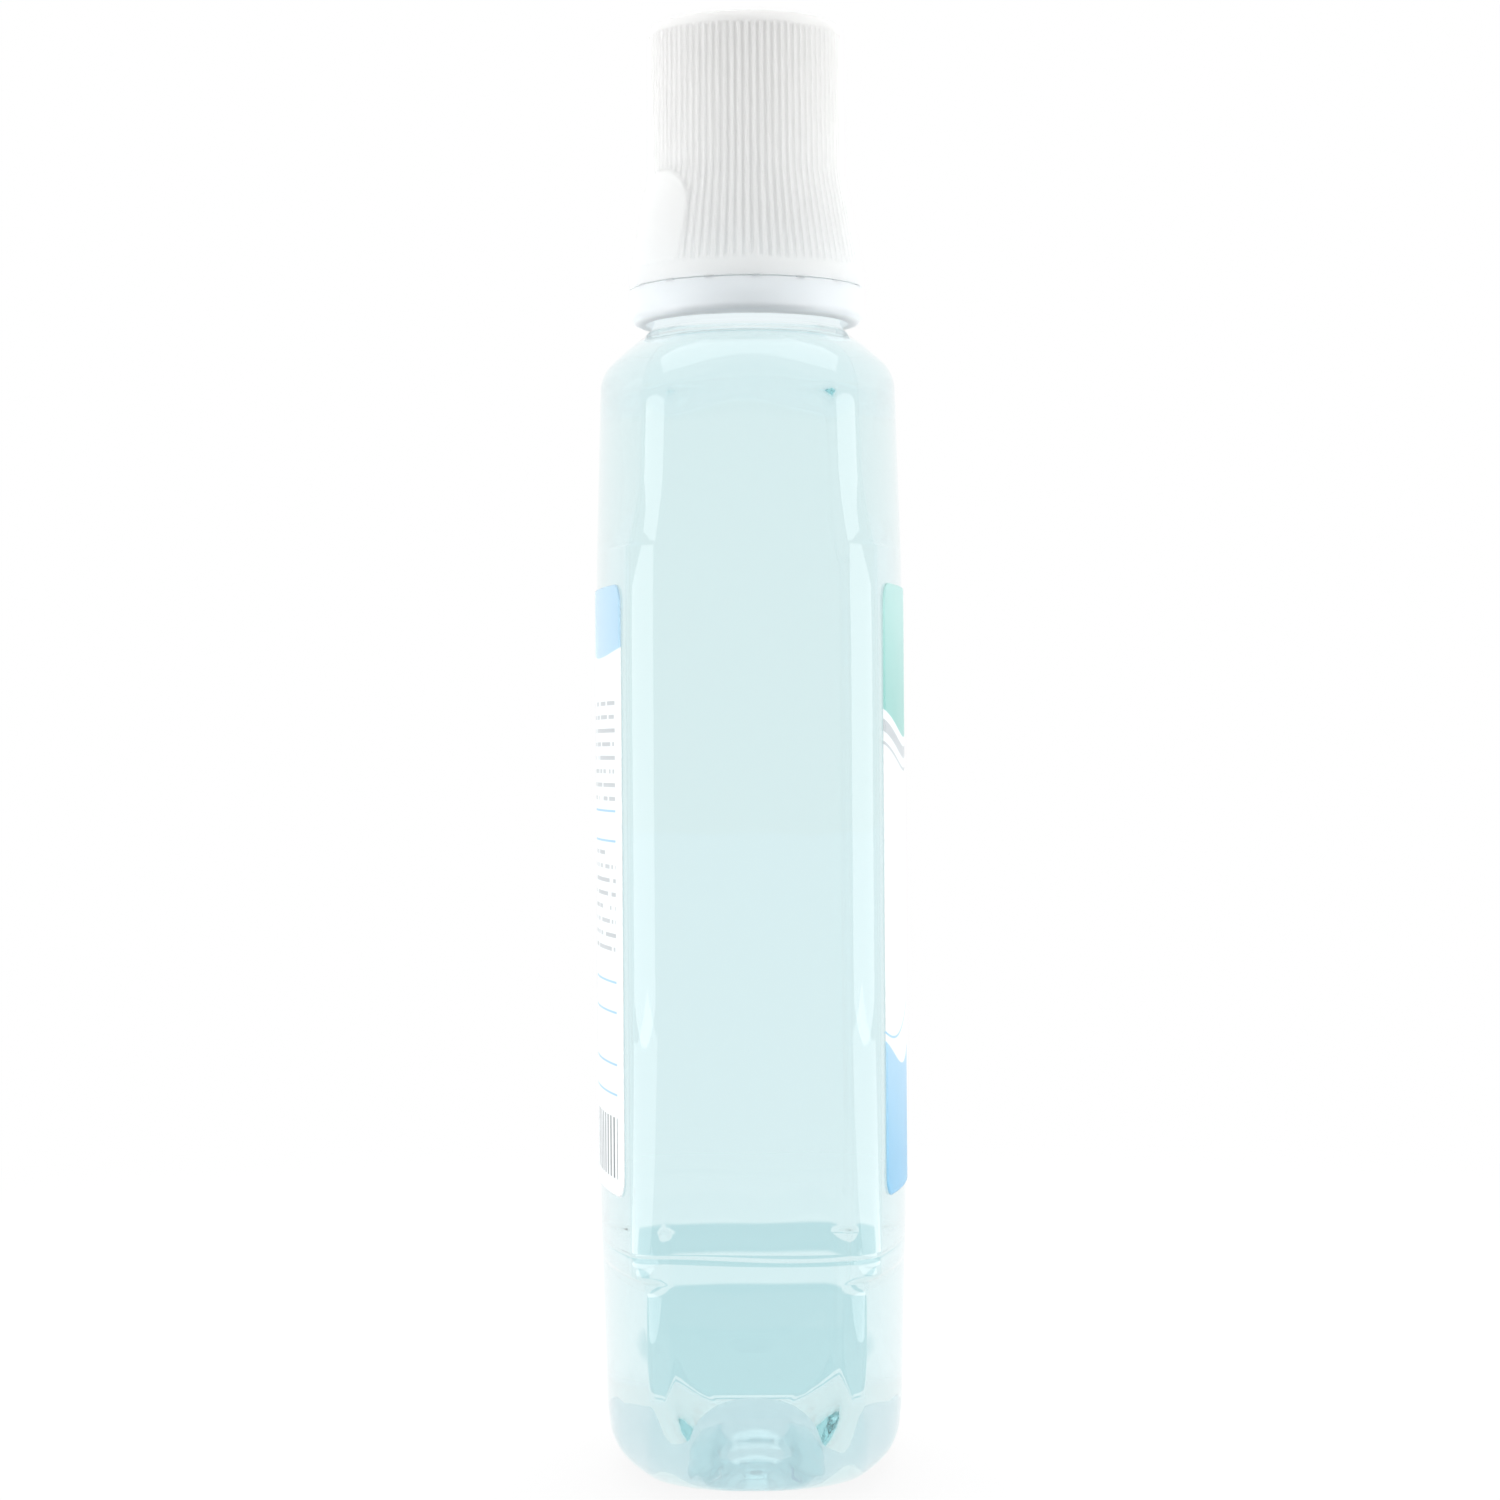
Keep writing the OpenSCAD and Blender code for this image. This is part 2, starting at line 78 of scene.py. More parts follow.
# %% A mesh from rows of points
def sheet_mesh(name, points, ends="poles"):
    """Joins points[row, column] to faces. Each face takes two neighbours in a row and the two above them, so that
    it faces outwards when columns run counter-clockwise seen from above and rows run up the outside. ends="poles"
    closes the first and last rows on their mean point, and ends="tube" joins the last row to the first."""
    rows, columns = points.shape[:2]
    index = np.arange(rows * columns).reshape(rows, columns)
    if ends == "tube":
        index = np.vstack([index, index[:1]])
    here, beside = index, np.roll(index, -1, axis=1)
    quads = np.stack([here[:-1], beside[:-1], beside[1:], here[1:]], axis=-1).reshape(-1, 4)
    flat = points.reshape(-1, 3)
    faces = quads.tolist()
    if ends == "poles":
        flat = np.vstack([flat, points[0].mean(0), points[-1].mean(0)])
        low, high = rows * columns, rows * columns + 1
        faces += np.stack([beside[0], here[0], np.full(columns, low)], axis=-1).tolist()
        faces += np.stack([here[-1], beside[-1], np.full(columns, high)], axis=-1).tolist()
    mesh = bpy.data.meshes.new(name)
    mesh.from_pydata((flat * MM).tolist(), [], faces)
    mesh.polygons.foreach_set("use_smooth", np.ones(len(mesh.polygons), bool))
    mesh.update()
    made = bpy.data.objects.new(name, mesh)
    bpy.context.scene.collection.objects.link(made)
    return made


def stand_for(piece, node, body):
    """Hides the plain solid, lets the piece move with its body, and says how large it came out."""
    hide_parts(node)
    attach(piece, body)
    lo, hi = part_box(node)
    co = np.array([v.co for v in piece.data.vertices])
    print(f"{piece.name}: {len(piece.data.polygons)} faces,",
          "box off the solid's by mm", np.round((co.min(0) - lo) / MM, 2), np.round((co.max(0) - hi) / MM, 2))
    return piece


# %% [markdown]
# ## The blown body
# The body is an oblong with broad, slightly round faces and flat narrow sides, and its outline changes up its
# height: a rounded foot, a sharp step where the label zone starts, a soft step above it, and a shoulder that
# turns the oblong into the round neck. One function gives the outline for any half width, half depth, face
# radius and corner radius, for many heights at once.

# %% Sizes of the body, in millimetres
HALF_W, HALF_D, FOOT_D, UPPER_D = 36.9, 23.425, 22.3, 22.55
BODY_TOP, WALL = 171.9, 0.7
FACE_R, OUTER_FACE_R, CORNER_R, OUTER_CORNER_R = 112, 88, 5, 4.4
STEP_Z, STEP_H, SOFT_Z, SOFT_H = 31.2, 1.2, 137.4, 12
TAPER_LOW, TAPER_HIGH = 41.9, 133.4
SIDE_SLOPE, FACE_SLOPE = math.radians(11), math.radians(43)
SIDE_EDGE, FACE_EDGE, ROOT_R = 10, 5, 15.3
BASE_SIDE, BASE_FACE, BASE_CORNER, RING_W, PUSH_H = 9.6, 7, 13.6, 2.2, 9
LIFT, LIFT_FROM, LIFT_TO = 5.3, 14, 29.9
# The jump that opens the soft step, as a share of the step and in height, and the power of the push-up's curve
JUMP, JUMP_H, DOME_POWER = 0.25, 0.7, 2.2
# The parting line: height, depth, half its width, and how far its line and the wall round it wave
SEAM_Z, SEAM_DEEP, SEAM_HALF, SEAM_WAVE, SEAM_NEAR = 34.8, 0.05, 0.2, 0.4, 1.2
# How far the narrow sides wave, how far the rinse reaches into the wall, and rows in a smooth label zone
WAVY, WETTING, SMOOTH_ROWS = 0.035, 0.1, 26


def edge_start(full, edge, slope):
    """Height at which a side starts to bend in, so that its slope meets the neck's root at the body's top."""
    return BODY_TOP - (full - edge * (1 - math.sin(slope)) - ROOT_R) * math.tan(slope) - edge * math.cos(slope)


SHOULDER_Z = edge_start(HALF_W, SIDE_EDGE, SIDE_SLOPE)
FACE_EDGE_Z = edge_start(UPPER_D, FACE_EDGE, FACE_SLOPE)
print("shoulder starts at", round(SHOULDER_Z, 2), "and", round(FACE_EDGE_Z, 2))


# %% The outline's formulas
def ease(x):
    """A smooth rise from 0 to 1: 3 x squared minus 2 x cubed, held flat outside."""
    t = np.clip(x, 0, 1)
    return t * t * (3 - 2 * t)


def mix(a, b, t):
    """The straight line from a at t = 0 to b at t = 1."""
    return a + (b - a) * t


FACE_T = np.linspace(0, 1, 24, endpoint=False)
CORNER_T = np.linspace(0, 1, 17)
SIDE_T = np.linspace(0, 1, 17)[1:]


def quarter(w, d, r, c):
    """A quarter outline for each row: an arc of radius r across the face from its middle, an arc of radius c
    tangent to it round the corner, and a straight side down to the middle of the narrow panel."""
    w, d, r, c = (np.asarray(v, float).reshape(-1, 1) for v in np.broadcast_arrays(w, d, r, c))
    rise = np.sqrt((r - c) ** 2 - (w - c) ** 2)
    lean = np.arctan2(w - c, rise)
    face, corner = lean * FACE_T, mix(lean, np.pi / 2, CORNER_T)
    x = np.hstack([r * np.sin(face), w - c + c * np.sin(corner), w + 0 * SIDE_T])
    y = np.hstack([d - r + r * np.cos(face), d - r + rise + c * np.cos(corner), (d - r + rise) * (1 - SIDE_T)])
    return x, y


def ring(x, y, z):
    """Mirrors quarters to whole outlines, counter-clockwise from the middle of the +Y face, and adds the heights."""
    flip = slice(-2, 0, -1)
    xs = np.hstack([-x, -x[:, -2::-1], x[:, 1:], x[:, flip]])
    ys = np.hstack([y, -y[:, -2::-1], -y[:, 1:], y[:, flip]])
    return np.stack([xs, ys, np.broadcast_to(np.reshape(z, (-1, 1)), xs.shape)], axis=-1)


def over_edge(z, full, start, edge, slope):
    """Half a size over the shoulder: full below the start, then an arc of radius edge, then a straight slope."""
    up, turn = z - start, edge * math.cos(slope)
    arc = full - edge + np.sqrt(np.clip(edge ** 2 - up ** 2, 0, None))
    line = full - edge * (1 - math.sin(slope)) - (up - turn) / math.tan(slope)
    return np.where(up <= 0, full, np.where(up < turn, arc, line))


def half_depth(z):
    """Half the depth: it grows from the foot to the label zone and shrinks above it."""
    low = mix(FOOT_D, HALF_D, np.clip(z / TAPER_LOW, 0, 1))
    return np.minimum(low, mix(HALF_D, UPPER_D, np.clip((z - TAPER_HIGH) / (FACE_EDGE_Z - TAPER_HIGH), 0, 1)))


def body_rows(z, inset):
    """Outlines of the body at heights z, drawn in by inset. Over the shoulder the outline at its start is scaled
    and pulled towards an ellipse, until it meets the neck as a circle."""
    z = np.atleast_1d(np.asarray(z, float))
    w = over_edge(z, HALF_W - inset, SHOULDER_Z, SIDE_EDGE - inset, SIDE_SLOPE)
    d = over_edge(z, half_depth(np.minimum(z, FACE_EDGE_Z)) - inset, FACE_EDGE_Z, FACE_EDGE - inset, FACE_SLOPE)
    soft = np.clip((SOFT_Z + SOFT_H - z) / SOFT_H, 0, 1) ** 2 * (1 - JUMP * ease((z - SOFT_Z) / JUMP_H))
    label = np.minimum(ease((z - STEP_Z) / STEP_H), soft)
    r, c = mix(OUTER_FACE_R, FACE_R, label) - inset, mix(OUTER_CORNER_R, CORNER_R, label) - inset
    low = z <= SHOULDER_Z
    x, y = quarter(np.where(low, w, HALF_W - inset), np.where(low, d, half_depth(SHOULDER_Z) - inset), r, c)
    u, v = x / x[:, -1:], y / y[:, :1]
    n, share = np.hypot(u, v), ease((z - SHOULDER_Z) / (BODY_TOP - SHOULDER_Z)).reshape(-1, 1)
    x = np.where(low[:, None], x, w[:, None] * mix(u, u / n, share))
    y = np.where(low[:, None], y, d[:, None] * mix(v, v / n, share))
    return ring(x, y, z)


def wavy(rows):
    """Draws the narrow sides in by a few hundredths of a millimetre, on two crossing sine waves."""
    x, y, z = rows[..., 0], rows[..., 1], rows[..., 2]
    wave = 0.6 * np.sin(0.23 * y + 0.045 * z + x / 30) + 0.4 * np.sin(0.41 * y - 0.06 * z + x / 11)
    flat = ease((np.abs(x) - 30) / 5)
    rows[..., 0] = x - np.sign(x) * WAVY * (1 + wave) * flat
    return rows


def foot_rows(turn, draw, inset):
    """Outlines round the lower edge, for turn from 0 at the standing ring to a quarter turn on the side."""
    side = BASE_SIDE + draw - (BASE_SIDE - inset) * np.sin(turn)
    face = BASE_FACE + draw - (BASE_FACE - inset) * np.sin(turn)
    c = mix(BASE_CORNER - draw, OUTER_CORNER_R - inset, 1 - np.cos(turn))
    x, y = quarter(HALF_W - side, FOOT_D - face, OUTER_FACE_R, c)
    return ring(x, y, BASE_FACE - (BASE_FACE - inset) * np.cos(turn))


def base_rows(share, inset):
    """The push-up under the bottle: the inner edge of the standing ring, shrunk to a share and raised to a full
    dome, by a power of the share."""
    rows = foot_rows(np.zeros_like(share), RING_W - inset, inset)
    rows[..., :2] *= share[:, None, None]
    rows[..., 2] = (inset + PUSH_H * (1 - share ** DOME_POWER))[:, None]
    return rows


# %% Rows of a whole skin, from the middle of the base up to a height
def skin_rows(inset, top, label_rows=8):
    """All outlines of one skin. The outer one also gets the mould's parting line, a fine groove on the side
    towards -X whose height follows a sine across it."""
    share = np.linspace(0, 1, 26)[1:]
    heights = np.concatenate([
        np.linspace(BASE_FACE, STEP_Z, 12)[1:], np.linspace(STEP_Z, STEP_Z + STEP_H, 8)[1:],
        SEAM_Z + np.array([-0.9, -0.2, -0.1, 0, 0.1, 0.2, 0.9]),
        np.linspace(SEAM_Z + 1.5, SOFT_Z, label_rows), np.linspace(SOFT_Z, SOFT_Z + JUMP_H, 5)[1:],
        np.linspace(SOFT_Z + JUMP_H, SOFT_Z + SOFT_H, 10)[1:], np.linspace(SOFT_Z + SOFT_H, SHOULDER_Z, 6)[1:],
        SHOULDER_Z + (BODY_TOP - SHOULDER_Z) * mix(share, np.sin(share * np.pi / 2), 0.5)])
    dome = 1 - (1 - np.linspace(0.04, 1, 26)) ** 1.3
    rows = np.concatenate([
        base_rows(dome, inset), foot_rows(np.linspace(0, np.pi / 2, 13), 0, inset),
        body_rows(heights[heights < top - 0.05], inset), body_rows(top, inset)])
    side = ease((np.abs(rows[..., 0]) - LIFT_FROM) / (LIFT_TO - LIFT_FROM))
    up = rows[..., 2]
    rows[..., 2] += LIFT * side * np.clip(np.minimum(up / BASE_FACE, (STEP_Z - up) / (STEP_Z - BASE_FACE)), 0, 1)
    if inset == 0:
        x, y, off = rows[..., 0], rows[..., 1], np.abs(rows[..., 2] - SEAM_Z)
        groove = SEAM_DEEP * ease(1 - off / SEAM_HALF) * ease((-x - 6) / 20)
        rows[..., 2] += SEAM_WAVE * np.clip(1 - off / SEAM_NEAR, 0, 1) * np.sin(0.16 * y + 0.4 + 0.03 * x)
        rows[..., :2] *= 1 - (groove / np.hypot(x, y))[..., None]
    return wavy(rows)


print("columns round the body:", skin_rows(0, BODY_TOP).shape[1])

# %% [markdown]
# ## The neck, its thread and the wall's inside
# The wall and the neck are one blown piece, so they are one sheet here too. It runs up the outside, over the
# rim of the neck and down the inside to the base again, which leaves a real wall for light to bend in. The
# thread is not a part on its own: it is a rise in the radius, where the height is close to a line that climbs
# one lead for each turn.

# %% Sizes of the neck
NECK_R, NECK_IN, BORE_R, FINISH_R, BEAD_R = 14.3, 12.6, 10.9, 12.7, 15.5
BEAD_Z, FINISH_Z, RIM_Z, LEAD = 177.4, 178.8, 190.0, 4.233
PAD_TURN = math.radians(123)
THREAD_H, LUG_R, RIM_ROUND, INNER_TOP = 0.72, 14.6, 0.54, 170.4


def around(points):
    """The direction of each column as an angle from +X."""
    return np.arctan2(points[..., 1], points[..., 0])


def thread(angle, z, start, turns, width):
    """Height of a thread, from 0 to 1: full where the height is within half a width of the helix
    start + lead * turn, with slanted flanks, and fading in and out at its two ends. All turns are tried at once."""
    best = np.zeros(np.broadcast(angle, z).shape)
    for lap in range(math.ceil(turns) + 1):
        turn = np.mod(angle, 2 * np.pi) / (2 * np.pi) + lap
        crest = ease((width - np.abs(z - start - LEAD * turn)) / (width * 0.55))
        best = np.maximum(best, crest * ease(turn / 0.06) * ease((turns - turn) / 0.06))
    return best


def lug(angle, z):
    """Height of the two small catches under the thread, a quarter turn from the squeeze pads."""
    off = np.abs(np.mod(angle - PAD_TURN, np.pi) - np.pi / 2)
    return ease((math.radians(8) - off) / math.radians(1.5)) * ease((FINISH_Z + 1.7 - z) / 0.3)


# %% The wall, as one closed sheet
outer, inner = skin_rows(0, BODY_TOP), skin_rows(WALL, INNER_TOP, SMOOTH_ROWS)
TURN = around(outer[-1])


def circles(profile):
    """Rows of circles for pairs of radius and height."""
    r, z = np.array(profile, float).T
    return np.stack([r[:, None] * np.cos(TURN), r[:, None] * np.sin(TURN), z[:, None] + 0 * TURN], axis=-1)


def arc(x, z, r, a, b, steps):
    """Pairs of radius and height on an arc round (x, z), from a to b degrees."""
    t = np.radians(np.linspace(a, b, steps))
    return list(zip(x + r * np.cos(t), z + r * np.sin(t)))


neck = circles([(15.0, 171.95), (14.78, 172.1), (14.7, 172.4), (14.7, 172.65), (14.58, 172.85), (14.36, 173.0),
                (NECK_R, 173.2), (NECK_R, 174.5), (NECK_R, 176.0), (NECK_R, 177.1), (14.36, 177.25), (14.6, BEAD_Z),
                (15.3, BEAD_Z)]
               + arc(BEAD_R - 0.15, BEAD_Z + 0.15, 0.15, -60, 0, 3)
               + [(BEAD_R, 177.95), (15.3, 178.15), (13.0, 178.7)])
z = np.linspace(FINISH_Z, RIM_Z - 0.6, 84)[:, None]
height = np.maximum(THREAD_H * thread(TURN, z, 180.6, 1.5, 1.0), (LUG_R - FINISH_R) * lug(TURN, z))
r = FINISH_R + height
finish = np.stack([r * np.cos(TURN), r * np.sin(TURN), z + 0 * TURN], axis=-1)
rim = circles(arc(FINISH_R - RIM_ROUND, RIM_Z - RIM_ROUND, RIM_ROUND, 5, 90, 6)
              + arc(BORE_R + 0.3, RIM_Z - 0.3, 0.3, 90, 180, 5))
bore = circles([(BORE_R, 186), (BORE_R, 181), (BORE_R, 177.6), (11.1, 177.1), (12.2, 176.0), (12.55, 175.6),
                (NECK_IN, 175.2), (NECK_IN, 174.2)])
t = ease(np.linspace(0, 1, 9)[1:-1])[:, None, None]
fillet = mix(circles([(NECK_IN, 173.6)]), inner[-1], t)
wall_points = np.concatenate([outer, neck, finish, rim, bore, fillet, inner[::-1]])
bottle_wall = stand_for(sheet_mesh("bottle_wall", wall_points), "bottle", "bottle")

# %% [markdown]
# ## The rinse
# Where a liquid wets a wall there is no air between them. If the two meshes only touched, rays would find a
# film of nothing there and mirror in it. So the rinse reaches a tenth of a millimetre into the wall: light
# enters the plastic, then the water, then leaves the plastic, and bends as it would at the real boundary. The
# top of the rinse climbs the wall by half a millimetre.

# %% The rinse
FILL_Z = 169.4
rinse_points = skin_rows(WALL - WETTING, FILL_Z, SMOOTH_ROWS)
edge = rinse_points[-1]
shrink = np.array([0.985, 0.965, 0.93, 0.8, 0.5, 0.2])
sink = np.array([0.3, 0.46, 0.55, 0.6, 0.6, 0.6])
surface = edge[None] * np.stack([shrink, shrink, np.ones(6)], axis=-1)[:, None, :]
surface[..., 2] -= sink[:, None]
rinse = stand_for(sheet_mesh("rinse_body", np.concatenate([rinse_points, surface])), "mouthwash", "bottle")


# %% [markdown]
# ## The labels
# Each label is a sheet of coated paper on the curved face. Its width at a height follows a rounded rectangle,
# and it is closed round its edge, so that it has a thickness like the real one.

# %% Labels
LABEL_W, LABEL_H, LABEL_Z, LABEL_T, LABEL_CORNER = 31.7, 89.1, 43.1, 0.08, 3
LABEL_TOP, GLUE, LABEL_COLUMNS = LABEL_Z + LABEL_H, 0.06, 41


def label_points(side):
    """Rows up the label, each a loop: across the outer face, then back across the inner one. x is a share of the
    half width at that height, and y follows the face's arc, one thickness further out for the outer face."""
    bend = np.sin(np.linspace(-np.pi / 2, np.pi / 2, 12))
    z = np.unique(np.concatenate([
        LABEL_Z + LABEL_CORNER * (1 + bend[:6]), np.linspace(LABEL_Z + 5, LABEL_TOP - 5, 12),
        LABEL_TOP - LABEL_CORNER * (1 - bend[6:])]))
    depth = np.clip(LABEL_CORNER - np.minimum(z - LABEL_Z, LABEL_TOP - z), 0, LABEL_CORNER)
    half = LABEL_W - LABEL_CORNER + np.sqrt(LABEL_CORNER ** 2 - depth ** 2)
    across = np.linspace(-1, 1, LABEL_COLUMNS)
    x = half[:, None] * np.concatenate([across, across[::-1]])
    out = GLUE + np.repeat([LABEL_T, 0], LABEL_COLUMNS)
    y = HALF_D - FACE_R + np.sqrt((FACE_R + out) ** 2 - x ** 2)
    return np.stack([side * x * -1, side * y, z[:, None] + 0 * x], axis=-1)


front_label = stand_for(sheet_mesh("front_label_print", label_points(-1)), "front_label", "bottle")
back_label = stand_for(sheet_mesh("back_label_print", label_points(1)), "back_label", "bottle")


# %% [markdown]
# ## Turned pieces of the cap
# The cup, the seal and the tamper ring are turned shapes: a closed profile of radius and height, carried round
# the axis. Rows follow the profile, columns go round, and the profile's end joins its start.

# %% A closed profile, turned
def turned(profile, columns=192):
    """Points at (r cos a, r sin a, z) for each profile point and for evenly spaced angles a. The profile runs
    counter-clockwise in the plane of radius and height, so that faces look out of the material."""
    r, z = np.array(profile, float).T
    a = np.arange(columns) * 2 * np.pi / columns
    return np.stack([r[:, None] * np.cos(a), r[:, None] * np.sin(a), z[:, None] + 0 * a], axis=-1)


# %% The seal and the tamper ring
seal = turned([(11.2, 190.05), (11.25, 190.05), (13.25, 190.05), (13.3, 190.1), (13.3, 191.0), (13.25, 191.05),
               (11.25, 191.05), (11.2, 191.0)])
seal_wad = stand_for(sheet_mesh("seal_wad", seal, "tube"), "seal_ring", "seal")
SKIRT_R, RING_Z, RING_TOP, CAP_Z = 17.9, 173.2, 178.5, 178.7
ring_profile = ([(15.6, RING_Z)] + arc(16.3, RING_Z + 1.6, 1.6, -88, 0, 12)
                + [(SKIRT_R, 176), (SKIRT_R, RING_TOP - 0.05), (SKIRT_R - 0.05, RING_TOP), (17.62, RING_TOP),
                   (17.55, RING_TOP + 0.12), (16.9, RING_TOP + 0.12), (16.8, RING_TOP - 0.5), (16.9, RING_TOP - 1.2),
                   (16.9, RING_Z + 1.8), (16.4, 174.1), (15.9, 173.9), (15.1, 177.0), (14.75, 177.05), (14.7, 176.9),
                   (15.35, 173.6)])
ring_points = turned(ring_profile, 256)
ring_shell = stand_for(sheet_mesh("ring_shell", ring_points, "tube"), "tamper_ring", "tamper_ring")

# %% The bridges across the seam
BRIDGES, FIRST = 16, 0.17


def bridge_points():
    """Sixteen thin tabs in one mesh of their own rows: each is a box with rounded sides, whose outline in radius
    and angle is a squared circle, and whose height eases at both ends."""
    a = np.linspace(0, 2 * np.pi, 16, endpoint=False)
    square = np.sign(np.cos(a)) * np.abs(np.cos(a)) ** 0.4, np.sign(np.sin(a)) * np.abs(np.sin(a)) ** 0.4
    z = np.array([177.6, 177.65, 178.4, 178.66, 178.68])
    size = np.array([0.8, 1, 1, 1, 0.9])[:, None]
    radial, across = 17.45 + 0.44 * size * square[0], 0.75 * size * square[1]
    turn = 2 * np.pi * (np.arange(BRIDGES) + FIRST) / BRIDGES
    x = radial * np.cos(turn)[:, None, None] - across * np.sin(turn)[:, None, None]
    y = radial * np.sin(turn)[:, None, None] + across * np.cos(turn)[:, None, None]
    return np.stack([x, y, np.broadcast_to(z[:, None], x.shape)], axis=-1)


def many_sheets(name, blocks):
    """Joins several small sheets of the same size into one mesh."""
    parts = [sheet_mesh(name + "_part", block) for block in blocks]
    with bpy.context.temp_override(active_object=parts[0], selected_editable_objects=parts, selected_objects=parts):
        bpy.ops.object.join()
    parts[0].name = parts[0].data.name = name
    return parts[0]


seam_bridges = many_sheets("seam_bridges", bridge_points())
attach(seam_bridges, "tamper_ring")
print("bridges:", len(seam_bridges.data.polygons), "faces")

# %% The dosing cup, with its own thread inside the skirt
CUP_TOP, CUP_R, CUP_IN, SKIRT_IN, SKIRT_OUT = 217.7, 13.89, 12.89, 14.1, 15.05
inside = [(0.02, CUP_TOP - 1), (12.3, CUP_TOP - 1), (12.72, CUP_TOP - 1.18), (CUP_IN, CUP_TOP - 1.6), (CUP_IN, 205),
          (CUP_IN, 192.9), (12.1, 192.1), (12.1, 191.15), (12.15, 191.1), (13.4, 191.1), (13.475, 191.0),
          (13.475, 189.0), (SKIRT_IN, 188.4)]
skirt_z = np.linspace(188.2, 181.3, 60)[:, None]
a = np.arange(192) * 2 * np.pi / 192
skirt_r = SKIRT_IN - 0.58 * thread(a, skirt_z, 182.2, 1.2, 0.95)
skirt = np.stack([skirt_r * np.cos(a), skirt_r * np.sin(a), skirt_z + 0 * a], axis=-1)
outside = [(SKIRT_IN, 181.1), (14.15, 181.0), (14.95, 181.0), (SKIRT_OUT, 181.1), (SKIRT_OUT, 188.3), (14.9, 188.8),
           (14.0, 192.7), (CUP_R, 193.1), (CUP_R, 205)]
outside += arc(CUP_R - 0.6, CUP_TOP - 0.6, 0.6, 0, 90, 6) + [(0.02, CUP_TOP)]
cup_points = np.concatenate([turned(inside), skirt, turned(outside)])
cup = stand_for(sheet_mesh("dose_cup", cup_points), "dosing_cup", "cup")

# %% [markdown]
# ## The ribbed shell
# The shell widens from its straight upper part to a skirt, carries 84 fine ribs between two smooth bands, and
# has two smooth squeeze pads shaped like an arch, round above and open below. Ribs and pads are again a change
# of the radius. Each rib gets ten columns, placed where its flat top and its flanks begin, and rows are close
# together only where a pad's edge crosses them.

# %% Sizes and formulas of the shell
RIBS, RIB_OUT, PAD_R, PAD_OUT = 84, 0.16, 6.45, 0.5
CAP_TOP, FLARE_Z, FLARE_LOW, CAP_R, CAP_TOP_R = 218.9, 195.6, 180.52, 15.0, 14.75
PAD_LOW, PAD_TOP, UNDER_Z, UNDER_R, SKIRT_INSIDE = CAP_Z + 2.6, 195.9, 217.8, 13.95, 16.85


def pad_distance(across, z):
    """Distance from a pad's edge, below 0 inside: a half circle above, and upright sides under it."""
    x, up = np.abs(across), np.maximum(z - (PAD_TOP - PAD_R), 0)
    return np.hypot(x, up) - PAD_R


def shell_line(z):
    """Radius over the ribs: straight lines through the skirt, the flare's foot, its start and the top, with the
    corners eased over a millimetre or two by averaging."""
    knots = np.array([CAP_Z, FLARE_LOW, FLARE_Z, CAP_TOP])
    radii = np.array([SKIRT_R, SKIRT_R, CAP_R, CAP_TOP_R])
    return np.mean([np.interp(z + s, knots, radii) for s in np.linspace(-1.2, 1.2, 9)], axis=0)


# %% The shell's outside, edge and inside
phase = np.array([-0.5, -0.36, -0.29, -0.235, -0.17, 0.0, 0.17, 0.235, 0.29, 0.36])
angle = ((np.arange(RIBS)[:, None] + phase) * 2 * np.pi / RIBS).ravel()
rib = np.tile(ease((0.31 - np.abs(phase)) / 0.1), RIBS)
z = np.concatenate([
    [CAP_Z + 0.04, CAP_Z + 0.3, CAP_Z + 1.6], np.arange(CAP_Z + 2.2, CAP_Z + 17.8, 0.24),
    np.linspace(CAP_Z + 18.2, CAP_TOP - 2.4, 10), np.linspace(CAP_TOP - 2.1, CAP_TOP - 1.1, 7)])[:, None]
ribbed = ease((z - CAP_Z - 2.5) / 0.7) * ease((CAP_TOP - 1.5 - z) / 0.6)
line = shell_line(z)
off_pad = np.mod(angle - PAD_TURN + np.pi / 2, np.pi) - np.pi / 2
inside_pad = ease((0.16 - pad_distance(line * np.sin(off_pad), z)) / 0.5) * ease((z - PAD_LOW) / 0.8)
proud = PAD_OUT * np.clip((z - FLARE_LOW) / (FLARE_Z - FLARE_LOW), 0.1, 1)
band_share = np.where(z < CAP_Z + 10, 1.0, 0.93)
rib_level = line - RIB_OUT + RIB_OUT * mix(rib * ribbed, band_share, 1 - ribbed)
radius = np.minimum(mix(rib_level, line + proud, inside_pad), SKIRT_R)
side = np.stack([radius * np.cos(angle), radius * np.sin(angle), z + 0 * radius], axis=-1)


def shell_circles(profile):
    """Rows of circles again, for pairs of radius and height, on the shell's own columns."""
    r, h = np.array(profile, float).T
    return np.stack([r[:, None] * np.cos(angle), r[:, None] * np.sin(angle), h[:, None] + 0 * angle], axis=-1)


top = shell_circles(arc(CAP_TOP_R - 1, CAP_TOP - 1, 1, 4, 90, 9) + [(12, CAP_TOP), (6, CAP_TOP), (0.3, CAP_TOP)])
under = shell_circles([(0.3, UNDER_Z), (12, UNDER_Z), (13.7, UNDER_Z), (UNDER_R, 217.55), (UNDER_R, 205),
                       (UNDER_R, FLARE_Z), (14.4, 193), (SKIRT_INSIDE, FLARE_LOW), (SKIRT_INSIDE, CAP_Z + 0.15),
                       (16.95, CAP_Z), (17.86, CAP_Z)])
shell_points = np.concatenate([side, top, under])
cap_piece = stand_for(sheet_mesh("ribbed_shell", shell_points, "tube"), "cap_shell", "cap")


# %% [markdown]
# ## Writing shaders as sums
# A material is a small program. The class below wraps a socket, so that 1 - mask or height * 0.2 adds the Math
# nodes by itself, and one method makes any other node.

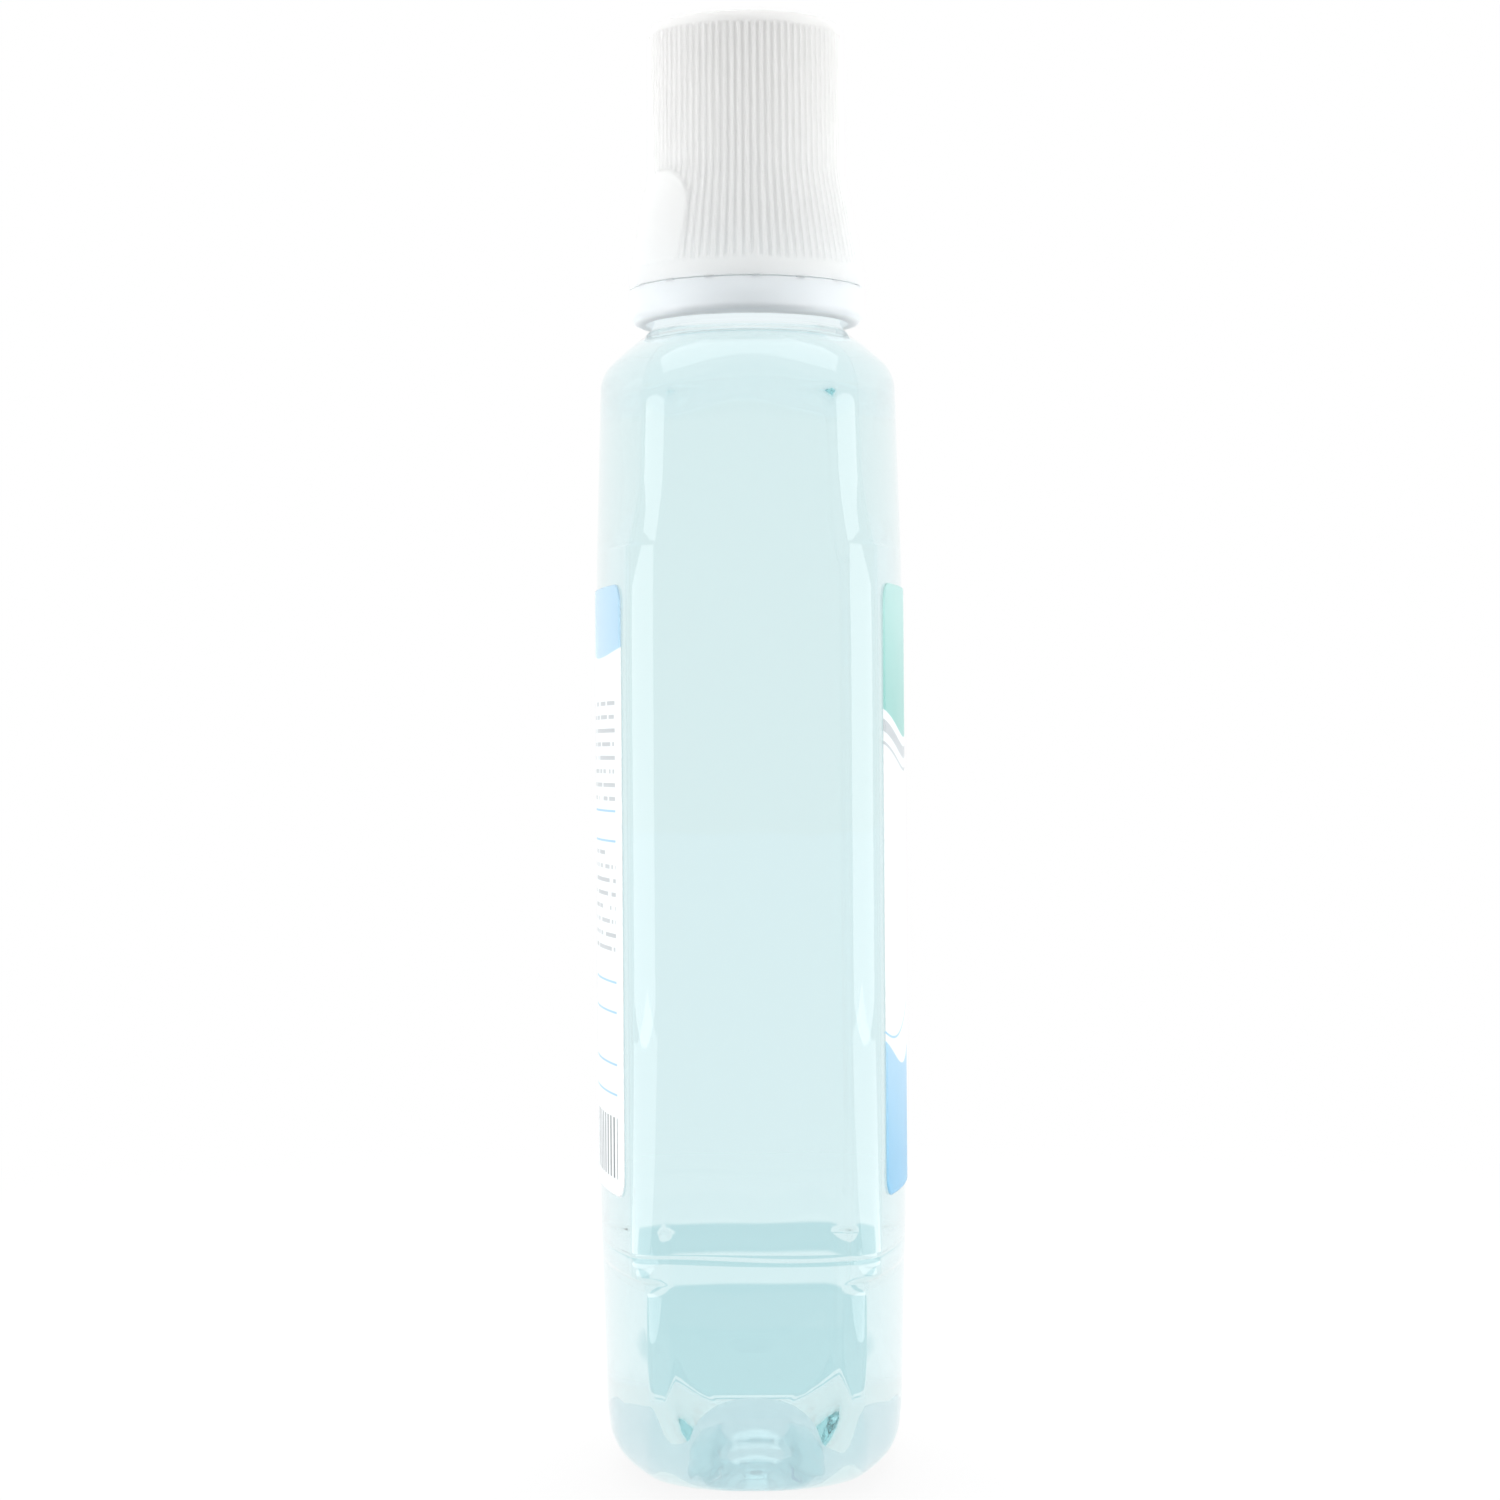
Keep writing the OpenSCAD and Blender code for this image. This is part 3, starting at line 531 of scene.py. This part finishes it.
# %% Sockets that can be added and multiplied
class Wire:
    """One output of a material's nodes. Arithmetic on it adds Math nodes to the same material."""

    def __init__(self, paint, socket):
        self.paint, self.socket = paint, socket

    def maths(self, operation, *others):
        return self.paint.node("ShaderNodeMath", {"operation": operation}, dict(enumerate([self, *others])))

    def __add__(self, other): return self.maths("ADD", other)
    def __radd__(self, other): return self.maths("ADD", other)
    def __mul__(self, other): return self.maths("MULTIPLY", other)
    def __rmul__(self, other): return self.maths("MULTIPLY", other)
    def __sub__(self, other): return self.maths("SUBTRACT", other)
    def __rsub__(self, other): return (self * -1) + other
    def __abs__(self): return self.maths("ABSOLUTE")

    def step(self, low, high):
        """A smooth step of this value, from 0 at low to 1 at high."""
        return self.paint.node("ShaderNodeMapRange", {"interpolation_type": "SMOOTHSTEP"}, {0: self, 1: low, 2: high})


class Paint:
    """A material: its Principled shader, with plain numbers set on the shader itself, and the nodes that feed it."""

    def __init__(self, name, **settings):
        self.material = bpy.data.materials.new(name)
        self.material.use_nodes = True
        self.tree = self.material.node_tree
        self.shader = self.tree.nodes["Principled BSDF"]
        for key, value in settings.items():
            self.shader.inputs[key.replace("_", " ")].default_value = value

    def node(self, kind, settings=None, sockets=None, output=0):
        """Adds a node of any kind, with its settings first and then its sockets, and hands back one output."""
        made = self.tree.nodes.new(kind)
        for key, value in (settings or {}).items():
            setattr(made, key, value)
        for key, value in (sockets or {}).items():
            self.put(made.inputs[key], value)
        return Wire(self, made.outputs[output])

    def put(self, socket, value):
        if isinstance(value, Wire):
            self.tree.links.new(value.socket, socket)
        else:
            socket.default_value = value

    def place(self):
        """The three object coordinates in millimetres."""
        spot = self.node("ShaderNodeTexCoord", output="Object")
        parts = self.node("ShaderNodeSeparateXYZ", sockets={0: spot}).socket.node
        return spot, *(Wire(self, o) * 1000 for o in parts.outputs)

    def noise(self, spot, scale, detail=2.0):
        return self.node("ShaderNodeTexNoise", sockets={"Vector": spot, "Scale": scale, "Detail": detail})

    def mix(self, share, a, b):
        return self.node("ShaderNodeMix", {"data_type": "RGBA"}, {0: share, 6: a, 7: b}, 2)

    def bump(self, height, strength, distance):
        made = self.node("ShaderNodeBump", sockets={"Strength": strength, "Distance": distance, "Height": height})
        self.put(self.shader.inputs["Normal"], made)

    def blend(self, share, other):
        """Shows a share of another shader in place of what the surface shows so far."""
        surface = self.tree.nodes["Material Output"].inputs["Surface"]
        so_far = Wire(self, surface.links[0].from_socket)
        self.put(surface, self.node("ShaderNodeMixShader", sockets={0: share, 1: so_far, 2: other}))

    def glow_through(self, share, y):
        """Lets part of the light that falls on one side of a thin wall leave on the other side, scattered. The glued
        side, whose normal points back at the bottle, also gives off a painted glow, in place of light reaching it
        through the bottle."""
        normal = self.node("ShaderNodeTexCoord", output="Normal")
        lean = self.node("ShaderNodeSeparateXYZ", sockets={0: normal}, output=1)
        glued = (y * lean).maths("LESS_THAN", -1)
        # Painted light: the glued side glows with a fixed pale colour.
        self.put(self.shader.inputs["Emission Color"], self.mix(glued, BLACK, (0.4, 0.46, 0.47, 1)))
        self.blend(share, self.node("ShaderNodeBsdfTranslucent", sockets={"Color": (0.93, 0.94, 0.94, 1)}))

    def on(self, *pieces):
        for piece in pieces:
            piece.data.materials.clear()
            piece.data.materials.append(self.material)


def colour(r, g, b):
    """An sRGB colour of 0 to 255 as Blender's linear values."""
    c = np.array([r, g, b]) / 255
    return (*np.where(c <= 0.04045, c / 12.92, ((c + 0.055) / 1.055) ** 2.4), 1.0)


BLACK, FULL_WHITE = (0, 0, 0, 1), (1, 1, 1, 1)


# %% [markdown]
# ## White plastic
# The cap is moulded polypropylene: a soft white, a little warmer than paper, with a satin skin that is slightly
# uneven from the mould. Light sinks in a little, so a touch of subsurface softens the ribs' shadows. Inside the
# ring and the cup, and on the ring's lower edge, a faint painted glow stands in for light that soaks through the
# thin walls, and lightens the shade there.

# %% White plastics
def white_plastic(name, tone, rough, depth, painted_glow=0.0, skin=0.0):
    """White polypropylene that light enters by about the given depth in metres. Its faces inside the radius skin,
    in millimetres, give off painted light at the level painted_glow: a glow in place of light through the wall."""
    paint = Paint(name, IOR=1.49, Subsurface_Weight=1.0, Subsurface_Scale=depth, Emission_Strength=1.0)
    paint.shader.inputs["Subsurface Radius"].default_value = (1, 1, 1)
    spot, x, y, z = paint.place()
    cloud = paint.noise(spot, 90.0, 3.0)
    warmth = (z - 176).step(0, 38)
    low, high = colour(tone[0] - 4, tone[1], tone[2] + 3), colour(*tone)
    tint = paint.mix(warmth, low, high)
    paint.put(paint.shader.inputs["Base Color"], paint.mix(cloud * 0.06, tint, (0.6, 0.6, 0.6, 1)))
    paint.put(paint.shader.inputs["Roughness"], cloud * 0.12 + (rough - 0.06))
    # Painted light: faces inside the radius skin glow faintly, in place of light through the wall and of shade.
    inner = 1 - (x * x + y * y).maths("SQRT").step(skin - 0.3, skin + 0.3)
    painted_glow_colour = (painted_glow, painted_glow * 1.05, painted_glow * 1.07, 1)
    paint.put(paint.shader.inputs["Emission Color"], paint.mix(inner, BLACK, painted_glow_colour))
    paint.bump(paint.noise(spot, 1400.0, 2.0), 0.12, 0.00006)
    return paint


white_plastic("white_shell_plastic", (243, 243, 240), rough=0.38, depth=0.003).on(cap_piece)
# Painted light: the ring's inside and the shaded underside of its lower edge glow faintly, and so does the cup's
# inside.
ring_white = white_plastic("white_ring_plastic", (236, 238, 239), rough=0.36, depth=0.0015, painted_glow=0.13, skin=17.5)
ring_white.on(ring_shell, seam_bridges)
white_plastic("white_cup_plastic", (240, 241, 240), rough=0.34, depth=0.002, painted_glow=0.02, skin=14.9).on(cup)
white_plastic("seal_foam", (226, 229, 229), rough=0.7, depth=0.002).on(seal_wad)

# %% [markdown]
# ## Clear wall and rinse
# The wall is clear PET, which bends light more than water and hardly colours it. At the foot of the neck and in
# the push-up, a share of the wall is painted light: it gives off a fixed pale glow there in place of bent light,
# which lightens the shade under the ring and the dark paths through the push-up. The rinse takes its colour
# from depth: it absorbs a little red for each millimetre that light crosses, so thin edges look nearly clear
# and the middle looks pale blue.

# %% Clear plastic and the rinse
clear = Paint("clear_wall_plastic", Base_Color=(0.985, 0.995, 0.992, 1), Roughness=0.0, IOR=1.5,
              Transmission_Weight=1.0)
_, x, y, z = clear.place()
# Painted light: a share of the wall at the foot of the neck and in the push-up glows with a fixed pale colour.
neck_glow = z.step(171.9, 172.6) * (1 - z.step(176.8, 177.4)) * 0.85
inside_ring = 1 - (x * x * 0.00148 + y * y * 0.0051).step(0.9, 1.0)
push_up_glow = inside_ring * (1 - z.step(9.9, 10.1)) * 0.35
for share, wall_glow_colour in ((push_up_glow, (0.54, 0.72, 0.78, 1)), (neck_glow, (0.85, 0.93, 0.95, 1))):
    clear.blend(share, clear.node("ShaderNodeEmission", sockets={"Color": wall_glow_colour, "Strength": 1.0}))
clear.on(bottle_wall)
water = Paint("blue_rinse", Base_Color=FULL_WHITE, Roughness=0.0, IOR=1.333, Transmission_Weight=1.0)
soak = water.node("ShaderNodeVolumeAbsorption", sockets={"Color": (0.1, 0.72, 0.78, 1), "Density": 4.5})
water.put(water.tree.nodes["Material Output"].inputs["Volume"], soak)
water.on(rinse)


# %% [markdown]
# ## Printed labels
# The prints are plain designs in the bottle's colours: waves of mint and sky blue on white for the front, and a
# header, ruled lines and boxes for the back. They are worked out from the height and the place across the
# label, so they stay sharp at any size. Light passes through the paper, and its glued back gets a painted glow, so
# the back isn't dark in the bottle.

# %% The front print
front = Paint("front_label_paper", IOR=1.5, Coat_Weight=0.3, Coat_Roughness=0.12, Emission_Strength=1.0)
spot, x, y, z = front.place()
white = colour(246, 249, 250)
swell = (x * 0.13).maths("SINE") * 2.2
mint = front.mix((z - 112).step(0, 22), colour(142, 206, 199), colour(176, 222, 218))
sky = front.mix((z - 43).step(0, 26), colour(124, 194, 230), colour(170, 214, 238))
tone = front.mix((z - swell - 112).step(-0.05, 0.05), white, mint)
for low, high in ((108.8, 110.6), (106.9, 107.4)):
    band = (z - swell - low).step(-0.05, 0.05) * (swell + high - z).step(-0.05, 0.05)
    tone = front.mix(band, tone, colour(196, 202, 206))
roll = (x * 0.16 + 1.2).maths("SINE") * 2.6
tone = front.mix((roll - z + 64).step(-0.05, 0.05), tone, sky)
curl = (x * 0.16 + 2.4).maths("SINE") * 2.2
line = 1 - abs(z - curl - 68).step(0.12, 0.22)
tone = front.mix(line, tone, colour(150, 204, 240))
front.put(front.shader.inputs["Base Color"], tone)
front.put(front.shader.inputs["Roughness"], front.noise(spot, 160.0) * 0.1 + 0.3)
front.glow_through(0.22, y)
front.on(front_label)

# %% The back print
back = Paint("back_label_paper", IOR=1.5, Coat_Weight=0.3, Coat_Roughness=0.12, Emission_Strength=1.0)
spot, x, y, z = back.place()
head = back.mix((x + 31).step(0, 40), colour(176, 214, 235), colour(208, 230, 240))
tone = back.mix((z - (x * 0.1).maths("SINE") * 1.2 - 123).step(-0.05, 0.05), white, head)
inside = (28 - abs(x)).step(-0.05, 0.05)
grid = back.node("ShaderNodeCombineXYZ", sockets={0: (x * 0.8).maths("FLOOR"), 1: (z * 0.5).maths("FLOOR")})
cell = back.node("ShaderNodeTexWhiteNoise", {"noise_dimensions": "2D"}, {"Vector": grid})
rule = (1 - abs((z * 0.5).maths("FRACT") - 0.5).step(0.14, 0.17)) * cell.step(0.24, 0.26) * inside
gap = abs(z - 97).maths("LESS_THAN", 3.6)
block = (z - 78).step(-0.05, 0.05) * (116 - z).step(-0.05, 0.05) * (1 - gap)
tone = back.mix(rule * block * 0.55, tone, colour(120, 128, 136))
for middle in (97, 72, 60):
    far = abs(z - middle)
    pill = (1 - abs(far - 2.2).step(0.12, 0.2)) * inside
    tone = back.mix(pill, tone, colour(140, 200, 240))
corner = (1 - abs(z - 50).step(4.4, 4.5)) * (-8 - x).step(0, 0.1) * inside
bars = (x * 0.42).maths("FRACT").maths("LESS_THAN", 0.4) * corner
tone = back.mix(bars, tone, colour(96, 100, 106))
back.put(back.shader.inputs["Base Color"], tone)
back.put(back.shader.inputs["Roughness"], back.noise(spot, 160.0) * 0.1 + 0.3)
back.glow_through(0.22, y)
back.on(back_label)

# %% [markdown]
# ## Floor, light and camera
# The bottle stands on a plain white floor in a white room. To the camera the floor and the room show as white,
# and through glass nearly white, while what lights the object stays at a plain level. A little of the floor's
# own shading is kept, so the bottle still has its shadow. Through the bottle the floor also shows painted
# shadow: two pale blue rings and a darker patch round the foot, which make the band and the panel near the foot
# darker and bluer.

# %% The floor and the room
bpy.ops.mesh.primitive_plane_add(size=8)
floor = bpy.context.object
floor.name = "floor"
ground = Paint("white_floor", Base_Color=(0.9, 0.9, 0.9, 1), Roughness=0.6)
ray = ground.node("ShaderNodeLightPath").socket.node.outputs
direct, mirrored, through = (Wire(ground, ray[f"Is {kind} Ray"]) for kind in ("Camera", "Glossy", "Transmission"))
seen = direct.maths("MAXIMUM", mirrored).maths("MAXIMUM", through)
_, x, y, _ = ground.place()
reach = (x * x + y * y).maths("SQRT")
# Painted shadow: seen through glass, two rings of the floor round the bottle turn darker and pale blue.
rings = reach.step(72, 88) * (1 - reach.step(186, 192)) + reach.step(230, 238) * (1 - reach.step(276, 284))
painted_blue_shadow = rings * through * (1 - abs(y).step(50, 60))
# Painted shadow: seen through glass, the floor within about 70 mm of the axis is a little darker and bluer.
under = ground.mix(reach.step(60, 76), (0.9, 0.94, 0.95, 1), (0.95, 0.955, 0.965, 1))
glow_tone = ground.mix(painted_blue_shadow, ground.mix(through, FULL_WHITE, under), (0.6, 0.76, 0.79, 1))
glow = ground.node("ShaderNodeEmission", sockets={"Color": glow_tone, "Strength": 1.0})
ground.blend(seen * (reach.step(80, 420) * 0.1 + 0.9), glow)
ground.on(floor)

room = bpy.data.worlds.new("white_room")
bpy.context.scene.world = room
room.use_nodes = True
nodes, links = room.node_tree.nodes, room.node_tree.links
back_light = nodes["Background"]
back_light.inputs["Color"].default_value = FULL_WHITE
path = nodes.new("ShaderNodeLightPath")
# A ray that is bent in glass counts as glossy too, so its level is mixed in after the glossy one.
strength = 0.72
for kind, value in (("Is Glossy Ray", 1.0), ("Is Transmission Ray", 0.94), ("Is Camera Ray", 1.0)):
    level = nodes.new("ShaderNodeMix")
    level.inputs["B"].default_value = value
    links.new(path.outputs[kind], level.inputs["Factor"])
    if isinstance(strength, float):
        level.inputs["A"].default_value = strength
    else:
        links.new(strength, level.inputs["A"])
    strength = level.outputs["Result"]
links.new(strength, back_light.inputs["Strength"])


# %% Soft boxes at the sides, above and behind, and three a side that only show as reflections
def soft_box(name, place, aim, size, power):
    """A rectangular lamp at place that points at aim. Places are in metres and the power in watts."""
    lamp = bpy.data.lights.new(name, "AREA")
    lamp.shape, lamp.size, lamp.size_y, lamp.energy = "RECTANGLE", *size, power
    box = bpy.data.objects.new(name, lamp)
    bpy.context.scene.collection.objects.link(box)
    box.location = place
    box.rotation_euler = (Vector(aim) - Vector(place)).to_track_quat("-Z", "Y").to_euler()
    box.visible_camera = False
    return box


for side, turn in (("left", 1), ("right", -1)):
    tall = soft_box(side + "_box", (-0.2, 0.75 * turn, 0.22), (0, 0, 0.11), (0.3, 0.7), 2.65)
    tall.visible_glossy = tall.visible_transmission = False
    low = soft_box(side + "_low", (-0.16, 0.13 * turn, 0.006), (0, 0, 0.175), (0.12, 0.12), 0.05)
    low.visible_glossy = low.visible_transmission = False
    card = soft_box(side + "_card", (-0.45, 0.66 * turn, 0.1), (0, 0, 0.1), (1.3, 0.4), 3.7)
    shelf = soft_box(side + "_shelf", (-0.1, 0.128 * turn, 0.004), (-0.1, 0.128 * turn, 1), (0.2, 0.042), 0.057)
    apron = soft_box(side + "_apron", (-0.35, 0.46 * turn, 0.004), (-0.35, 0.46 * turn, 1), (0.9, 0.6), 2.9)
    for glossy_only in (card, shelf, apron):
        glossy_only.visible_diffuse = glossy_only.visible_transmission = False
soft_box("top_box", (0.1, 0, 0.95), (0, 0, 0.1), (0.7, 0.7), 0.9)
behind = soft_box("back_box", (0.6, 0, 0.35), (0, 0, 0.15), (0.8, 0.6), 5.5)
behind.visible_transmission = behind.visible_glossy = False

# %% The camera, level and a little turned, as the picture was taken
TURNED, ROLL, AWAY, EYE_Z = math.radians(0.67), math.radians(0.41), 0.538, 0.108
lens = bpy.data.cameras.new("camera")
lens.lens, lens.sensor_width = 84.0, 36.0
camera = bpy.data.objects.new("camera", lens)
bpy.context.scene.collection.objects.link(camera)
camera.location = (-AWAY * math.cos(TURNED), AWAY * math.sin(TURNED), EYE_Z)
camera.rotation_mode = "XYZ"
camera.rotation_euler = (math.pi / 2, 0, -math.pi / 2 - TURNED)
camera.rotation_euler.rotate_axis("Z", -ROLL)
bpy.context.scene.camera = camera
bpy.context.scene.view_settings.view_transform = "Standard"
cycles = bpy.context.scene.cycles
cycles.max_bounces, cycles.transmission_bounces, cycles.glossy_bounces, cycles.diffuse_bounces = 40, 40, 24, 10
